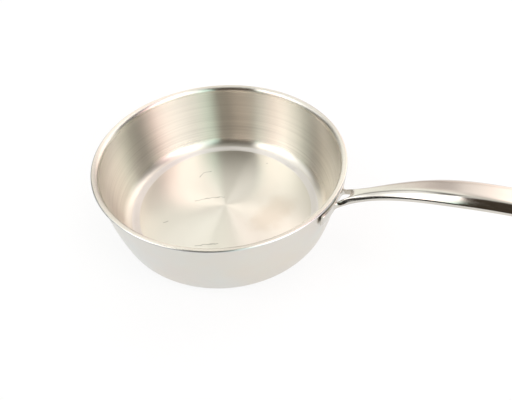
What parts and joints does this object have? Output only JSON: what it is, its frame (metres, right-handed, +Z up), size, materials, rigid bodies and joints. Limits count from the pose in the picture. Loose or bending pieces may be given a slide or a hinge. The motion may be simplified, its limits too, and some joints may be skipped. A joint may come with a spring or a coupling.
{
  "type": "deep frying pan",
  "caption": "Deep round clad stainless frying pan with steep, gently bowed sides, a flared pouring rim and a forked cast handle welded under the rim.",
  "frame": {"origin": "middle of the flat base's underside, on the surface that the pan stands on", "axes": "+Z up through the middle of the pan, +X out along the handle, +Y to the left of someone looking out along the handle"},
  "size_m": [0.4522, 0.252, 0.1302],
  "materials": {
    "exterior_steel": "satin polished magnetic stainless",
    "core_aluminium": "rolled, seen only as a line in the rim's edge",
    "interior_steel": "spun and brushed in circles",
    "handle_steel": "cast, satin flat with polished shoulders",
    "weld_steel": "fused, as welded"
  },
  "bodies": {
    "root": {"exterior_shell": "exterior_steel", "aluminium_core": "core_aluminium", "interior_lining": "interior_steel", "handle": "handle_steel", "weld_nugget_left_inner": "weld_steel", "weld_nugget_left_outer": "weld_steel", "weld_nugget_right_inner": "weld_steel", "weld_nugget_right_outer": "weld_steel"}
  },
  "joints": []
}
